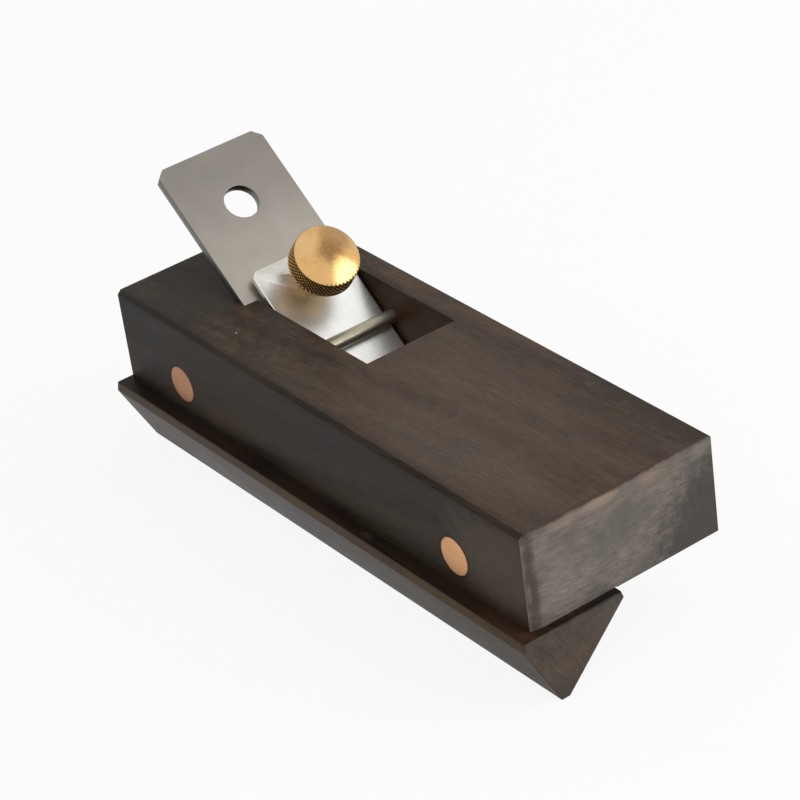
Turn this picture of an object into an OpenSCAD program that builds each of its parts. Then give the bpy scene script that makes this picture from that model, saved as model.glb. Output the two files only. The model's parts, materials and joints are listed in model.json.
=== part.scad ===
// Chamfer plane: a hardwood block with a skewed-section fence rail under its near side.
// X runs along the plane with the toe at +X, Y runs across it with the near side at -Y, Z is up.
// The origin is the middle of the block, on its sole. All sizes are in millimetres and degrees.

/* [Block] */
// Length of the block
block_len = 150; // [120:1:200]
// Width of the block
block_wid = 51; // [46:0.5:64]
// Height of the block, sole to top
block_hgt = 24; // [20:0.5:34]
// Chamfer along the near long edge of the top
near_chamfer = 1; // [0.4:0.1:2]
// Chamfer along the far long edge of the top
far_chamfer = 0.4; // [0.2:0.1:2]
// How far the toe's near corner is eased, along the plane
corner_ease_x = 0.7; // [0.3:0.1:2]
// How far the toe's near corner is eased, across the plane
corner_ease_y = 2.9; // [0.5:0.1:4]

/* [Throat] */
// Width of the throat between the cheeks
throat_wid = 24.6; // [20:0.2:27]
// How far the throat's middle lies from the block's middle, towards the far side
throat_shift = 6.7; // [5:0.1:8]
// Distance from the block's middle back to the cutting edge
edge_back = 15.3; // [5:0.1:25]
// Slope of the bed
bed_angle = 38; // [34:0.5:48]
// Distance from the block's middle back to the front wall of the throat, at the top
throat_front_back = 3.2; // [0:0.1:6]
// Opening of the mouth ahead of the cutting edge
mouth_gap = 1.8; // [1:0.1:3]
// Height of the upright part of the front wall, above the sole
wear_hgt = 3; // [1.5:0.1:6]

/* [Blade] */
// Length of the blade, top end to cutting edge
blade_len = 77.4; // [60:0.5:100]
// Width of the blade
blade_wid = 29.5; // [28:0.1:31]
// Thickness of the blade
blade_thk = 2.4; // [1.6:0.1:3.2]
// Side play of the blade in the two slots of the cheeks, each side
slot_play = 1.25; // [0.4:0.05:2]
// Gap between the blade and the near end of its slots, which it is pushed towards
near_end_gap = 0.15; // [0.05:0.05:0.35]
// Angle of the ground bevel
bevel_angle = 28; // [22:1:34]
// Cut-off corners of the blade's top end
blade_corner = 2.1; // [1:0.1:4]
// Diameter of the hanging hole
hole_dia = 8.5; // [5:0.1:12]
// Distance of the hanging hole from the blade's top end
hole_down = 15.3; // [10:0.1:20]
// How far the cutting edge is drawn back from the sole, along the bed
edge_recess = 0.3; // [0.1:0.05:1]

/* [Cross pin] */
// Diameter of the cross pin
pin_dia = 3.5; // [3:0.1:5]
// Distance of the pin from the cutting edge, up along the blade
pin_up = 19.6; // [17:0.1:24]
// Depth of the pin's blind seat in the near cheek
pin_seat = 6; // [3:0.1:9]

/* [Lever cap] */
// Thickness of the lever cap's plate
cap_thk = 1.5; // [1.2:0.1:2.4]
// Side play between the lever cap and each cheek
cap_side_gap = 0.6; // [0.3:0.1:1.5]
// Length of the lever cap above the pin
cap_above = 24.5; // [22:0.1:32]
// Length of the lever cap below the pin, to where its lip presses on the blade
cap_below = 16; // [12:0.1:18]
// Space between the lever cap and the blade, under the pin
cap_stand = 1.15; // [1:0.05:2]
// How much steeper the lever cap lies than the blade
cap_lean = 1.5; // [1:0.1:2]
// How far the lip at the lower end is bent down
lip_bend = 30; // [20:1:45]
// Cut-off corners of the lever cap's upper end
cap_corner = 1.3; // [0.5:0.1:3]

/* [Thumb screw] */
// Diameter of the screw's shank
screw_dia = 5; // [4:0.1:6]
// Distance of the screw from the pin, up along the lever cap
screw_up = 16; // [14:0.1:20]
// Open length of shank between the lever cap and the knob's neck, when tight
knob_gap = 4.7; // [2:0.1:5]
// Diameter of the knob's neck
neck_dia = 12; // [8:0.1:12.8]
// Height of the knob's neck
neck_hgt = 4.3; // [3:0.1:7]
// Diameter of the knurled head
knob_dia = 16; // [14:0.1:19]
// Height of the knurled head, up to its rim
knob_hgt = 4.9; // [3:0.1:7]
// Rise of the head's rounded top above its rim
knob_rise = 2.5; // [1:0.1:5]
// Chamfer round the rim and round the underside of the head
knob_chamfer = 0.2; // [0.1:0.1:0.6]
// How deep the shank goes into the knob
shank_in_knob = 7; // [4:0.1:8]

/* [Fence rail] */
// Depth of the rail below the sole
rail_depth = 18; // [12:0.1:24]
// How far the ledge of the rail stands out from the block's near side
ledge_out = 3.6; // [2:0.1:6]
// Height of the upright edge of the ledge
ledge_hgt = 2; // [1:0.1:4]
// How much the foot of the ledge's edge stands out past its top
ledge_flare = 0.4; // [0:0.1:1]
// Width of the flat on the rail's lowest edge
apex_flat = 2.2; // [1:0.1:4]
// Angle of the guiding face to the sole
fence_angle = 45; // [40:0.5:50]
// Distance from the block's far side to the guiding face's upper corner
sole_wid = 28.1; // [25:0.1:34]
// Height of the small upright easing where the guiding face meets the sole
fence_ease = 1.5; // [0.5:0.1:3]
// How far the top of that easing is set back
fence_ease_in = 0.6; // [0.2:0.1:1]
// How deep the rail's flat top is let into the underside of the block
rail_seat = 0.2; // [0.1:0.1:1]
// How far the rail stands out past the block's toe
rail_out_toe = 2; // [0:0.1:4]
// How far the rail stands out past the block's heel
rail_out_heel = 1.5; // [0:0.1:4]
// Depth of the notch that clears the blade's near corner
notch_deep = 2.6; // [1.5:0.1:4]

/* [Joinery] */
// Length of each of the rail's two tenons, along the plane
tenon_len = 26; // [16:0.5:34]
// Thickness of the tenons
tenon_thk = 8; // [5:0.1:9]
// Height of the tenons above the sole
tenon_hgt = 14; // [13:0.1:16]
// Distance from the near side to the tenons
tenon_in = 4.5; // [3:0.1:6]
// Diameter of the dowels
dowel_dia = 9; // [7:0.1:10]
// Length of the dowels
dowel_len = 17; // [15:0.1:20]
// Height of the dowels' middle above the sole
dowel_up = 7.8; // [6:0.1:8]
// Distance from the block's toe to the front dowel
dowel_toe = 24.5; // [20:0.1:35]
// Distance from the block's heel to the rear dowel
dowel_heel = 23.1; // [20:0.1:35]

/* [Fits] */
// Gap round a piece that is driven or glued in
glue_gap = 0.02; // [0.01:0.01:0.05]
// Gap round the screw in the lever cap and in the knob
thread_gap = 0.05; // [0.02:0.01:0.09]
// Gap between faces that slide or press on each other
slide_gap = 0.06; // [0.03:0.01:0.1]
// Gap over the blade in the slots of the cheeks
slot_over = 0.2; // [0.1:0.05:0.4]

/* [Hidden] */
$fn = 96;

// Overrun of a cut past the face that it opens on
over = 1;

// Faces of the block
toe_x = block_len / 2;
heel_x = -block_len / 2;
far_y = block_wid / 2;
near_y = -block_wid / 2;

// The cutting edge line on the sole, and the bed below the blade
edge_x = -edge_back;
bed_depth = blade_thk + slide_gap;
function bed_x(z) = edge_x - z / tan(bed_angle) - bed_depth / sin(bed_angle);

// The front wall of the throat
wall_top_x = -throat_front_back;
wall_foot_x = edge_x + mouth_gap;
wall_run = (wall_top_x - wall_foot_x) / (block_hgt - wear_hgt);

// The blade and its slots across the plane
slot_wid = blade_wid + 2 * slot_play;
slot_near = throat_shift - slot_wid / 2;
blade_y = slot_near + near_end_gap + blade_wid / 2;

// The pin over the blade, and the lever cap's frame at the pin
cap_top = pin_dia / 2 + slide_gap;
pin_rise = cap_stand + cap_thk + cap_top;
pin_x = edge_x - pin_up * cos(bed_angle) + pin_rise * sin(bed_angle);
pin_z = pin_up * sin(bed_angle) + pin_rise * cos(bed_angle);
cap_angle = bed_angle + cap_lean;
cap_wid = throat_wid - 2 * cap_side_gap;

// The lip: its lowest corner is one slide gap above the blade
lip_drop = (pin_rise - cap_below * sin(cap_lean) - slide_gap) / cos(cap_lean) - cap_top;
lip_len = (lip_drop - cap_thk * cos(lip_bend)) / sin(lip_bend);
lip_start = cap_below - lip_len * cos(lip_bend) + cap_thk * sin(lip_bend);

// The screw: its rounded tip is one slide gap above the blade
tip_dia = screw_dia * 0.5;
tip_hgt = 0.6;
tip_z = (slide_gap - pin_rise - screw_up * sin(cap_lean)) / cos(cap_lean)
        + tip_dia / 2 * tan(cap_lean);
neck_z = knob_gap - cap_top;
knob_top_z = neck_z + neck_hgt + knob_hgt;

// Corners of the rail's section, across the plane
ledge_y = near_y - ledge_out;
fence_y = far_y - sole_wid;
apex_far_y = fence_y - (rail_depth - fence_ease) / tan(fence_angle);
apex_near_y = apex_far_y - apex_flat;

// Places of the dowels and tenons
front_dowel_x = toe_x - dowel_toe;
rear_dowel_x = heel_x + dowel_heel;
tenon_y = near_y + tenon_in;

// Colours
ebony = [0.17, 0.145, 0.13];
copper = [0.80, 0.58, 0.42];
tool_steel = [0.63, 0.60, 0.57];
nickel = [0.80, 0.80, 0.78];
pin_steel = [0.50, 0.48, 0.45];
brass = [0.85, 0.64, 0.38];

// Puts its children in the frame of the bed: x down along the blade, z out of its upper face,
// with the cutting edge line of the sole at the origin.
module on_bed() {
    translate([edge_x, 0, 0]) rotate([0, bed_angle, 0]) children();
}

// Puts its children in the frame of the lever cap: the pin's axis at the origin, x down along
// the plate, z out of its upper face.
module on_cap() {
    translate([pin_x, 0, pin_z]) rotate([0, cap_angle, 0]) children();
}

// Puts its children on the axis of the thumb screw, at the height of the pin.
module on_screw() {
    on_cap() translate([-screw_up, throat_shift, 0]) children();
}

// A solid whose side view is a list of [x, z] points, from y0 to y1.
module side_profile(points, y0, y1) {
    translate([0, y1, 0]) rotate([90, 0, 0]) linear_extrude(y1 - y0) polygon(points);
}

// A solid whose end view is a list of [y, z] points, from x0 to x1.
module end_profile(points, x0, x1) {
    translate([x0, 0, 0]) rotate([90, 0, 90]) linear_extrude(x1 - x0) polygon(points);
}

// A round bar along Y, from y0 to y1.
module cross_bar(x, z, dia, y0, y1) {
    translate([x, y1, z]) rotate([90, 0, 0]) cylinder(d = dia, h = y1 - y0);
}

// The block before any cut: chamfered long top edges and an eased near corner at the toe.
module block_blank() {
    intersection() {
        end_profile([[near_y, 0], [far_y, 0], [far_y, block_hgt - far_chamfer],
                     [far_y - far_chamfer, block_hgt], [near_y + near_chamfer, block_hgt],
                     [near_y, block_hgt - near_chamfer]], heel_x, toe_x);
        linear_extrude(block_hgt)
            polygon([[heel_x, near_y], [toe_x - corner_ease_x, near_y],
                     [toe_x, near_y + corner_ease_y], [toe_x, far_y], [heel_x, far_y]]);
    }
}

// The throat: sloping bed behind, leaning front wall with an upright foot at the mouth.
module throat_cut() {
    side_profile([[bed_x(-over), -over], [wall_foot_x, -over], [wall_foot_x, wear_hgt],
                  [wall_top_x + wall_run * over, block_hgt + over],
                  [bed_x(block_hgt + over), block_hgt + over]],
                 throat_shift - throat_wid / 2, throat_shift + throat_wid / 2);
}

// The slots that carry the two edges of the blade through the cheeks, from top to sole.
module slot_cut() {
    up = (block_hgt + over + bed_depth * cos(bed_angle)) / sin(bed_angle);
    down = (over + slot_over * cos(bed_angle)) / sin(bed_angle);
    on_bed() translate([-up, slot_near, -bed_depth])
        cube([up + down, slot_wid, bed_depth + slot_over]);
}

// The shallow seat of the rail, from the near side to the guiding face's upper corner.
module seat_cut() {
    translate([heel_x - over, near_y - over, -over])
        cube([block_len + 2 * over, fence_y - near_y + over, rail_seat + over]);
}

// One mortise for a tenon of the rail, and the bore for its dowel.
module joint_cut(x) {
    translate([x - tenon_len / 2 - glue_gap, tenon_y - glue_gap, -over])
        cube([tenon_len + 2 * glue_gap, tenon_thk + 2 * glue_gap, tenon_hgt + over + glue_gap]);
    cross_bar(x, dowel_up, dowel_dia + 2 * glue_gap, near_y - over,
              near_y + dowel_len + glue_gap);
}

module plane_block() {
    color(ebony) difference() {
        block_blank();
        throat_cut();
        slot_cut();
        seat_cut();
        joint_cut(front_dowel_x);
        joint_cut(rear_dowel_x);
        cross_bar(pin_x, pin_z, pin_dia + 2 * glue_gap,
                  throat_shift - throat_wid / 2 - pin_seat - glue_gap, far_y + over);
    }
}

// The rail's body: ledge outside the block, blunt lowest edge, guiding face on the far side.
module rail_bar() {
    end_profile([[ledge_y, rail_seat], [ledge_y - ledge_flare, -ledge_hgt],
                 [apex_near_y, -rail_depth], [apex_far_y, -rail_depth],
                 [fence_y, -fence_ease], [fence_y - fence_ease_in, rail_seat]],
                heel_x - rail_out_heel, toe_x + rail_out_toe);
}

// Room in the top of the rail for the near corner of the blade and its chips.
module rail_notch() {
    back_x = bed_x(0);
    translate([back_x, slot_near, -notch_deep])
        cube([wall_foot_x - back_x, fence_y - slot_near + over,
              notch_deep + rail_seat + over]);
}

module tenon(x) {
    difference() {
        translate([x - tenon_len / 2, tenon_y, -over])
            cube([tenon_len, tenon_thk, tenon_hgt + over]);
        cross_bar(x, dowel_up, dowel_dia + 2 * glue_gap, tenon_y - over,
                  tenon_y + tenon_thk + over);
    }
}

module fence_rail() {
    color(ebony) {
        difference() {
            rail_bar();
            rail_notch();
        }
        tenon(front_dowel_x);
        tenon(rear_dowel_x);
    }
}

module dowel(x) {
    color(copper) cross_bar(x, dowel_up, dowel_dia, near_y, near_y + dowel_len);
}

module front_dowel() {
    dowel(front_dowel_x);
}

module rear_dowel() {
    dowel(rear_dowel_x);
}

module cross_pin() {
    color(pin_steel)
        cross_bar(pin_x, pin_z, pin_dia, throat_shift - throat_wid / 2 - pin_seat, far_y);
}

// The blade lies bevel down on the bed, its edge drawn back a little from the sole.
module blade() {
    bevel_run = blade_thk / tan(bevel_angle);
    top_x = -blade_len;
    half = blade_wid / 2;
    color(tool_steel) on_bed() translate([-edge_recess, blade_y, 0]) difference() {
        intersection() {
            side_profile([[top_x, 0], [0, 0], [-bevel_run, -blade_thk], [top_x, -blade_thk]],
                         -half, half);
            translate([0, 0, -blade_thk - over]) linear_extrude(blade_thk + 2 * over)
                polygon([[over, -half], [over, half], [top_x + blade_corner, half],
                         [top_x, half - blade_corner], [top_x, -half + blade_corner],
                         [top_x + blade_corner, -half]]);
        }
        translate([top_x + hole_down, 0, -blade_thk - over])
            cylinder(d = hole_dia, h = blade_thk + 2 * over);
    }
}

// The lever cap: a flat plate under the pin, with a bent lip and the screw's hole.
module lever_cap() {
    half = cap_wid / 2;
    lip_x = lip_start + lip_len * cos(lip_bend);
    lip_z = -lip_len * sin(lip_bend);
    inner_x = lip_start - cap_thk * tan(lip_bend / 2);
    color(nickel) on_cap() translate([0, throat_shift, -cap_top]) difference() {
        intersection() {
            side_profile([[-cap_above, 0], [lip_start, 0], [lip_x, lip_z],
                          [lip_x - cap_thk * sin(lip_bend), lip_z - cap_thk * cos(lip_bend)],
                          [inner_x, -cap_thk], [-cap_above, -cap_thk]], -half, half);
            translate([0, 0, -lip_drop - over]) linear_extrude(lip_drop + 2 * over)
                polygon([[cap_below + 2 * cap_thk, -half], [cap_below + 2 * cap_thk, half],
                         [-cap_above + cap_corner, half], [-cap_above, half - cap_corner],
                         [-cap_above, -half + cap_corner], [-cap_above + cap_corner, -half]]);
        }
        translate([-screw_up, 0, -cap_thk - over])
            cylinder(d = screw_dia + 2 * thread_gap, h = cap_thk + 2 * over);
    }
}

// The shank of the thumb screw, from its tip on the blade up into the knob.
module screw_shank() {
    color(brass) on_screw() rotate_extrude()
        polygon([[0, tip_z], [tip_dia / 2, tip_z], [screw_dia / 2, tip_z + tip_hgt],
                 [screw_dia / 2, neck_z + shank_in_knob], [0, neck_z + shank_in_knob]]);
}

// The turned knob: neck, knurled head with chamfered rims, and a rounded top.
module knurled_knob() {
    head_z = neck_z + neck_hgt;
    rim = knob_dia / 2;
    bore = screw_dia / 2 + thread_gap;
    bore_z = neck_z + shank_in_knob + thread_gap;
    dome = [for (t = [1:-0.25:0])
        [(rim - knob_chamfer) * t, knob_top_z + knob_rise * (1 - pow(t, 1.5))]];
    color(brass) on_screw() rotate_extrude()
        polygon(concat([[bore, neck_z], [neck_dia / 2 - knob_chamfer, neck_z],
                        [neck_dia / 2, neck_z + knob_chamfer], [neck_dia / 2, head_z],
                        [rim - knob_chamfer, head_z], [rim, head_z + knob_chamfer],
                        [rim, knob_top_z - knob_chamfer]],
                       dome, [[0, bore_z], [bore, bore_z]]));
}

plane_block();
fence_rail();
front_dowel();
rear_dowel();
cross_pin();
blade();
lever_cap();
screw_shank();
knurled_knob();
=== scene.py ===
"""Looks of a small chamfer plane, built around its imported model.

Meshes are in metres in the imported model's frame: X runs from heel to toe, Y from the near side to
the far side and Z up. The sizes of pieces and finishes are in millimetres, and those of the studio
are in metres.
"""

import json
import logging
import math
from collections.abc import Callable, Sequence
from dataclasses import dataclass, field
from enum import Enum

import bmesh
import bpy
from mathutils import Matrix, Vector


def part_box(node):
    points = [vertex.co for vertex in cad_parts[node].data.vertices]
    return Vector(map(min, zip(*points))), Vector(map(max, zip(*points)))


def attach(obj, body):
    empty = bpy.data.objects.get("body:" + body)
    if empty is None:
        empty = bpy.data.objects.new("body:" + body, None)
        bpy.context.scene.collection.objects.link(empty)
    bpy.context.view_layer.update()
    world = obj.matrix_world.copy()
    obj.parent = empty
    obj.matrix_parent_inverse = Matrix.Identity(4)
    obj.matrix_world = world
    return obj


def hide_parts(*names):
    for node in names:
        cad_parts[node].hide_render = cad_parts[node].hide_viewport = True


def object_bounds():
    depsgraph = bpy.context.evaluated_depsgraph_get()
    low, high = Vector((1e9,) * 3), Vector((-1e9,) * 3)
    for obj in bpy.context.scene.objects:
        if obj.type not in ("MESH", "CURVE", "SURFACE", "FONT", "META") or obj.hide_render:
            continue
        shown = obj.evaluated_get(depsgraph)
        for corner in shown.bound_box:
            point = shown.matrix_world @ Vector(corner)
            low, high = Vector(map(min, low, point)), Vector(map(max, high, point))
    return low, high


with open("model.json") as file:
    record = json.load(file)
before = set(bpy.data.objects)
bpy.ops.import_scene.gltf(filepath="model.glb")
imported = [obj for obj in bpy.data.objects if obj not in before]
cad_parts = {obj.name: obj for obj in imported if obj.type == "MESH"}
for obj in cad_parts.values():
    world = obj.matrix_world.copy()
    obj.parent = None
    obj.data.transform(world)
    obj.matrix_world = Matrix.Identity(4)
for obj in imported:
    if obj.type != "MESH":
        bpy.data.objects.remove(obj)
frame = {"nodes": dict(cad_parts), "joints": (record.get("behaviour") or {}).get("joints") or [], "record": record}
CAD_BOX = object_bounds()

MM = 0.001
MERGE_WITHIN = 2e-6  # metres between two corners that are one
FLAT_WITHIN = math.radians(0.4)  # turn between two facets of one flat face
SHARP_FROM = math.radians(25)  # turn at which an edge is sharp
PATCH_RIM = 1.1  # where a patch ends, in units of its radii
WATTS_FOR_WHITE = 4.0  # watts a square metre at which an area lamp is as bright as plain white
WHITE = (1.0, 1.0, 1.0)
PALE = (0.92, 0.92, 0.92)
LOG = logging.getLogger("chamfer_plane")

Triple = tuple[float, float, float]
Pair = tuple[float, float]
Socket = bpy.types.NodeSocket
Material = bpy.types.Material
Shape = bmesh.types.BMesh
Edge = bmesh.types.BMEdge


def row_named(rows: Sequence[dict], name: str) -> dict:
    """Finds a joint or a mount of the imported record.

    Args:
        rows: The record's joints or mounts.
        name: The name that it has there.

    Returns:
        The joint or mount as the record holds it.
    """
    return next(row for row in rows if row["name"] == name)


def axis_frame(origin: Vector, axis: Vector) -> Matrix:
    """Makes the placement of a turned piece whose local Z is its axis.

    Args:
        origin: Where the local origin goes.
        axis: The direction of the local Z.

    Returns:
        The placement, with the plane's own Y kept as local Y.
    """
    up = axis.normalized()
    side = Vector((0, 1, 0)) if abs(up.y) < 0.9 else Vector((0, 0, 1))
    across = side.cross(up).normalized()
    rows = Matrix((across, up.cross(across), up)).transposed().to_4x4()
    return Matrix.Translation(origin) @ rows


# ---------------------------------------------------------------- shader maths


class Value:
    """A number in a node tree. Arithmetic on it adds Math nodes to the tree."""

    def __init__(self, tree: "Tree", socket: Socket) -> None:
        """Wraps one output socket of a node tree."""
        self.tree = tree
        self.socket = socket

    def _math(self, operation: str, *terms: "Value | float", clamp: bool = False) -> "Value":
        """Adds one Math node.

        Args:
            operation: The node's operation.
            terms: What goes into its sockets, in order.
            clamp: Whether the result is kept between 0 and 1.

        Returns:
            The node's result.
        """
        settings = {"operation": operation, "use_clamp": clamp}
        made = self.tree.node("ShaderNodeMath", settings, dict(enumerate(terms)))
        return Value(self.tree, made.outputs[0])

    def __add__(self, other: "Value | float") -> "Value":
        """Sum."""
        return self._math("ADD", self, other)

    def __radd__(self, other: float) -> "Value":
        """Sum with a plain number first."""
        return self._math("ADD", other, self)

    def __sub__(self, other: "Value | float") -> "Value":
        """Difference."""
        return self._math("SUBTRACT", self, other)

    def __rsub__(self, other: float) -> "Value":
        """Difference with a plain number first."""
        return self._math("SUBTRACT", other, self)

    def __mul__(self, other: "Value | float") -> "Value":
        """Product."""
        return self._math("MULTIPLY", self, other)

    def __rmul__(self, other: float) -> "Value":
        """Product with a plain number first."""
        return self._math("MULTIPLY", other, self)

    def __abs__(self) -> "Value":
        """Absolute value."""
        return self._math("ABSOLUTE", self)

    def sine(self) -> "Value":
        """Sine of an angle in radians."""
        return self._math("SINE", self)

    def either(self, other: "Value | float") -> "Value":
        """The larger of the two."""
        return self._math("MAXIMUM", self, other)

    def clamped(self) -> "Value":
        """The number kept between 0 and 1."""
        return self._math("ADD", self, 0.0, clamp=True)

    def rise(self, low: float, high: float) -> "Value":
        """Smooth step.

        Args:
            low: The number at which the step gives 0.
            high: The number at which it gives 1. It may be below low, for a falling step.

        Returns:
            The step's result, from 0 to 1.
        """
        settings = {"interpolation_type": "SMOOTHSTEP"}
        first, last = (0.0, 1.0) if high > low else (1.0, 0.0)
        sockets = {0: self, 1: min(low, high), 2: max(low, high), 3: first, 4: last}
        made = self.tree.node("ShaderNodeMapRange", settings, sockets)
        return Value(self.tree, made.outputs[0])


class Tree:
    """A node tree while it is being put together."""

    def __init__(self, tree: bpy.types.NodeTree) -> None:
        """Empties a node tree and takes charge of it."""
        self.tree = tree
        self.tree.nodes.clear()

    def node(
        self, kind: str, settings: dict | None = None, sockets: dict | None = None
    ) -> bpy.types.Node:
        """Makes one node.

        Args:
            kind: The node's type.
            settings: Its own settings, which are set first.
            sockets: Values or links by the socket's name or number.

        Returns:
            The new node.
        """
        made = self.tree.nodes.new(kind)
        for key, value in (settings or {}).items():
            setattr(made, key, value)
        for key, value in (sockets or {}).items():
            socket = made.inputs[key]
            if isinstance(value, Value):
                value = value.socket
            if isinstance(value, Socket):
                self.tree.links.new(value, socket)
            elif isinstance(value, tuple) and len(value) == 3 and len(socket.default_value) == 4:
                socket.default_value = (*value, 1.0)
            else:
                socket.default_value = value
        return made


class Shade(Tree):
    """One finish while it is being mixed: a material and the nodes that it is made of."""

    def __init__(self, name: str) -> None:
        """Starts an empty material.

        Args:
            name: The finish's name.
        """
        self.material = bpy.data.materials.new(name)
        self.material.use_nodes = True
        super().__init__(self.material.node_tree)
        coords = self.node("ShaderNodeTexCoord")
        self.normal = self.split(coords.outputs["Normal"])
        self.place = self.vector("SCALE", coords.outputs["Object"], Scale=1.0 / MM)
        self.z = self.split(self.place)[2]

    def split(self, vector: Socket) -> tuple[Value, Value, Value]:
        """Takes a vector apart.

        Args:
            vector: The vector's socket.

        Returns:
            Its three numbers.
        """
        made = self.node("ShaderNodeSeparateXYZ", None, {0: vector})
        return tuple(Value(self, socket) for socket in made.outputs)

    def vector(self, operation: str, *terms: object, **named: object) -> Socket:
        """Adds one Vector Math node.

        Args:
            operation: The node's operation.
            terms: What goes into its sockets, in order.
            named: What goes into its sockets by name.

        Returns:
            The socket of its vector.
        """
        sockets = {**dict(enumerate(terms)), **named}
        return self.node("ShaderNodeVectorMath", {"operation": operation}, sockets).outputs[0]

    def length(self, vector: Socket) -> Value:
        """Measures a vector.

        Args:
            vector: The vector's socket.

        Returns:
            Its length.
        """
        made = self.node("ShaderNodeVectorMath", {"operation": "LENGTH"}, {0: vector})
        return Value(self, made.outputs["Value"])

    def distance(self, centre: Triple, radii: Triple) -> Value:
        """Distance from a point in units of the given radii.

        Args:
            centre: The point.
            radii: The length that counts as 1 along each axis.

        Returns:
            The distance, 1 on the surface of that ellipsoid.
        """
        away = self.vector("SUBTRACT", self.place, centre)
        return self.length(self.vector("DIVIDE", away, radii))

    def from_line(self, point: Triple, axis: Triple) -> Value:
        """Distance from a straight line.

        Args:
            point: A point on the line.
            axis: The line's direction, of length 1.

        Returns:
            The distance.
        """
        away = self.vector("SUBTRACT", self.place, point)
        return self.length(self.vector("CROSS_PRODUCT", away, axis))

    def noise(
        self,
        scale: Triple | float,
        detail: float = 3.0,
        rough: float = 0.6,
        bend: float = 0.0,
        turn: Triple = (0, 0, 0),
        shift: Triple = (0, 0, 0),
    ) -> Value:
        """Soft random pattern.

        Args:
            scale: Pattern units a millimetre along each axis, or one number for all three.
            detail: How many finer layers are added.
            rough: How strong each finer layer is.
            bend: How far the pattern is distorted.
            turn: The pattern's turn about each axis in degrees.
            shift: How far the pattern is moved.

        Returns:
            A number round 0.5.
        """
        turned = tuple(math.radians(angle) for angle in turn)
        placed = {"Vector": self.place, "Location": shift, "Rotation": turned}
        moved = self.node("ShaderNodeMapping", {"vector_type": "POINT"}, placed)
        scales = (scale, scale, scale) if isinstance(scale, float) else scale
        where = self.vector("MULTIPLY", moved.outputs[0], scales)
        sockets = {"Vector": where, "Scale": 1.0, "Detail": detail, "Roughness": rough}
        made = self.node(
            "ShaderNodeTexNoise", {"noise_dimensions": "3D"}, {**sockets, "Distortion": bend}
        )
        return Value(self, made.outputs[0])

    def mix(self, share: "Value | float", first: object, second: object) -> Socket:
        """Blends two colours.

        Args:
            share: The second colour's share.
            first: A colour or a colour's socket.
            second: The other one.

        Returns:
            The blended colour's socket.
        """
        sockets = {0: share, 6: first, 7: second}
        made = self.node("ShaderNodeMix", {"data_type": "RGBA", "clamp_factor": True}, sockets)
        return made.outputs[2]

    def brighten(self, colour: object, factor: Value) -> Socket:
        """Multiplies a colour by a number.

        Args:
            colour: The colour's socket.
            factor: The number.

        Returns:
            The new colour's socket.
        """
        return self.vector("SCALE", colour, Scale=factor)

    def relief(self, layers: Sequence[tuple[Value, float]]) -> Socket:
        """Turns height patterns into a normal.

        Args:
            layers: Pairs of a pattern and its height.

        Returns:
            The socket of the normal.
        """
        normal = None
        for pattern, height in layers:
            sockets = {"Height": pattern, "Distance": height * MM, "Strength": 1.0}
            if normal is not None:
                sockets["Normal"] = normal
            normal = self.node("ShaderNodeBump", None, sockets).outputs[0]
        return normal

    def finish(self, **sockets: object) -> Material:
        """Closes the finish with one Principled shader.

        Args:
            sockets: The shader's inputs, with underscores for the spaces in their names.

        Returns:
            The finished material.
        """
        named = {key.replace("_", " "): value for key, value in sockets.items()}
        shader = self.node("ShaderNodeBsdfPrincipled", None, named)
        self.node("ShaderNodeOutputMaterial", None, {"Surface": shader.outputs[0]})
        return self.material


# ---------------------------------------------------------------- finishes


class Face(Enum):
    """Which way a stretch of wood faces, for its tone, which holds painted light and shade."""

    TOP = "top"
    NEAR = "near"
    END = "end"
    UNDER = "under"


@dataclass(frozen=True)
class Patch:
    """A soft-edged place with another tone; some patches are painted light and shade.

    Attributes:
        centre: Middle of the place.
        radii: Its half sizes.
        tone: Its colour.
        strength: How much of that colour shows in the middle.
        way: The way that the surface has to face, or None for any.
        broken: How much the grain breaks the place up, from 0 to 1.
    """

    centre: Triple
    radii: Triple
    tone: Triple
    strength: float
    way: Face | None = None
    broken: float = 0.0


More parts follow.
